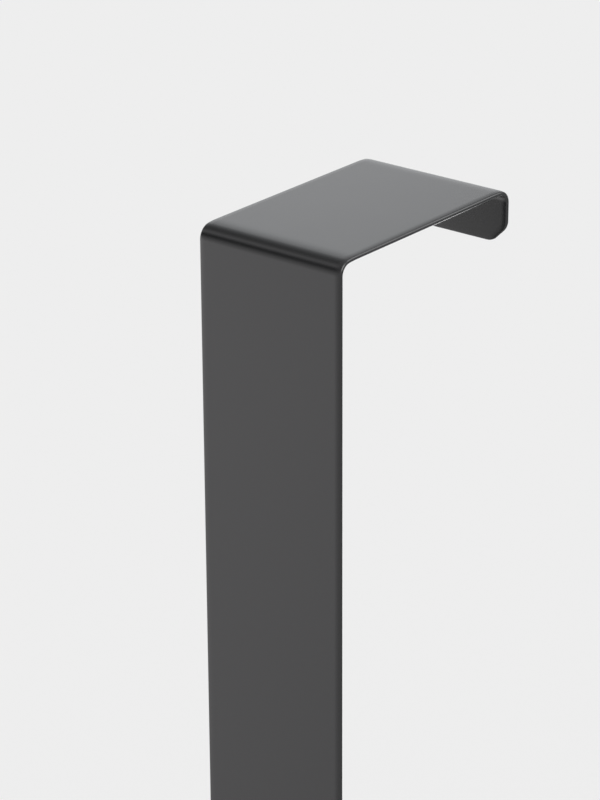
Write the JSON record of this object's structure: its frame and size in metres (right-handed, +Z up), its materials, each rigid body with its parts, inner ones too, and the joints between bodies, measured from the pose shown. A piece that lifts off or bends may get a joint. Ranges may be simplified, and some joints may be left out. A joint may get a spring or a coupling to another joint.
{
  "type": "over-door coat hanger",
  "caption": "Bent flat steel strip that hooks over the top edge of a door, with a column of turned coat pegs on its front and felt pads where it touches the door.",
  "frame": {"origin": "the middle of the seat pad's underside, where the hanger rests on the door's top edge", "axes": "+Z up along the front strip, -Y out into the room, +X to the right of a person who faces the pegs"},
  "size_m": [0.03, 0.0834, 0.33],
  "materials": {
    "powder_coat": "satin charcoal powder coat",
    "peg_coat": "satin charcoal powder coat on turned steel",
    "screw_steel": "black-oxide steel",
    "washer_steel": "bright zinc-plated spring steel",
    "felt": "pressed dark grey felt",
    "adhesive_film": "milky acrylic adhesive film"
  },
  "bodies": {
    "root": {"hanger_strip": "powder_coat", "upper_peg": "peg_coat", "upper_peg_screw": "screw_steel", "upper_peg_lock_washer": "washer_steel", "middle_peg": "peg_coat", "middle_peg_screw": "screw_steel", "middle_peg_lock_washer": "washer_steel", "lower_peg": "peg_coat", "lower_peg_screw": "screw_steel", "lower_peg_lock_washer": "washer_steel", "seat_pad": "felt", "seat_pad_adhesive": "adhesive_film", "upper_back_pad": "felt", "upper_back_pad_adhesive": "adhesive_film", "lower_back_pad": "felt", "lower_back_pad_adhesive": "adhesive_film"}
  },
  "joints": []
}
